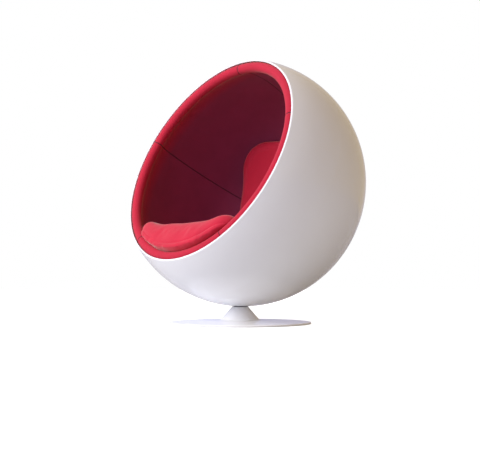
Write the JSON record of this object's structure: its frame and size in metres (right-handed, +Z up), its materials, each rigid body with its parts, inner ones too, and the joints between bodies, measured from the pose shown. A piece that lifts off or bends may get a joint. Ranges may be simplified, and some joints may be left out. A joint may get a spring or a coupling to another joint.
{
  "type": "swivel pod armchair",
  "caption": "Upholstered armchair shaped as a hollow ball cut open at the front, with a seat and a back cushion inside, turning on a flared round pedestal.",
  "frame": {"origin": "centre of the felt pad's underside, where the base stands on the floor, on the swivel axis", "axes": "+Z up along the swivel axis, -Y towards the front, where the ball is open, +X to the sitter's left"},
  "size_m": [1.1, 0.9806, 1.1773],
  "materials": {
    "shell_gelcoat": "high-gloss white gelcoat on glass-fibre laminate",
    "base_lacquer": "cast light alloy in white gloss lacquer",
    "lining_cloth": "deep red woven wool, glued to foam",
    "upholstery_cloth": "deep red woven wool cushion cover",
    "lining_foam": "open-cell polyurethane foam",
    "cushion_foam": "moulded polyurethane foam",
    "tack_strip": "bent plywood strip, raw",
    "felt_pad": "dense dark wool felt",
    "felt_seal": "dense dark wool felt",
    "steel_plate": "hot-rolled steel plate, plain",
    "ground_steel": "ground bearing steel",
    "zinc_steel": "zinc-plated steel",
    "brass_inserts": "turned brass",
    "brass_cage": "pressed brass",
    "bronze_bush": "sintered bronze, oiled"
  },
  "bodies": {
    "base": {"pedestal_base": "base_lacquer", "lower_bearing_race": "ground_steel", "upper_bush": "bronze_bush", "lower_bush": "bronze_bush", "dust_seal": "felt_seal", "ballast_plate": "steel_plate", "ballast_screws": "zinc_steel", "floor_pad": "felt_pad"},
    "bearing_cage": {"bearing_cage": "brass_cage", "bearing_balls": "ground_steel"},
    "ball": {"shell": "shell_gelcoat", "threaded_inserts": "brass_inserts", "plate_bolts": "zinc_steel", "plate_washers": "zinc_steel", "swivel_plate": "steel_plate", "spindle": "ground_steel", "upper_bearing_race": "ground_steel", "spindle_washer": "zinc_steel", "spindle_nut": "zinc_steel", "lining_foam": "lining_foam", "rim_roll_foam": "lining_foam", "tack_strip": "tack_strip", "lining_panel_1": "lining_cloth", "lining_panel_2": "lining_cloth", "lining_panel_3": "lining_cloth", "lining_panel_4": "lining_cloth", "lining_panel_5": "lining_cloth", "seat_cushion_foam": "cushion_foam", "seat_cushion_top_cover": "upholstery_cloth", "seat_cushion_base_cover": "upholstery_cloth", "back_cushion_foam": "cushion_foam", "back_cushion_front_cover": "upholstery_cloth", "back_cushion_rear_cover": "upholstery_cloth"}
  },
  "joints": [
    {"name": "ball_swivel", "type": "hinge", "parent": "base", "child": "ball", "pos_m": [0, 0, 0], "axis": [0, 0, 1], "continuous": true},
    {"name": "bearing_cage_spin", "type": "hinge", "parent": "base", "child": "bearing_cage", "pos_m": [0, 0, 0], "axis": [0, 0, 1], "continuous": true}
  ],
  "couplings": [
    {"joint": "bearing_cage_spin", "follows": "ball_swivel", "ratio": 0.5}
  ]
}
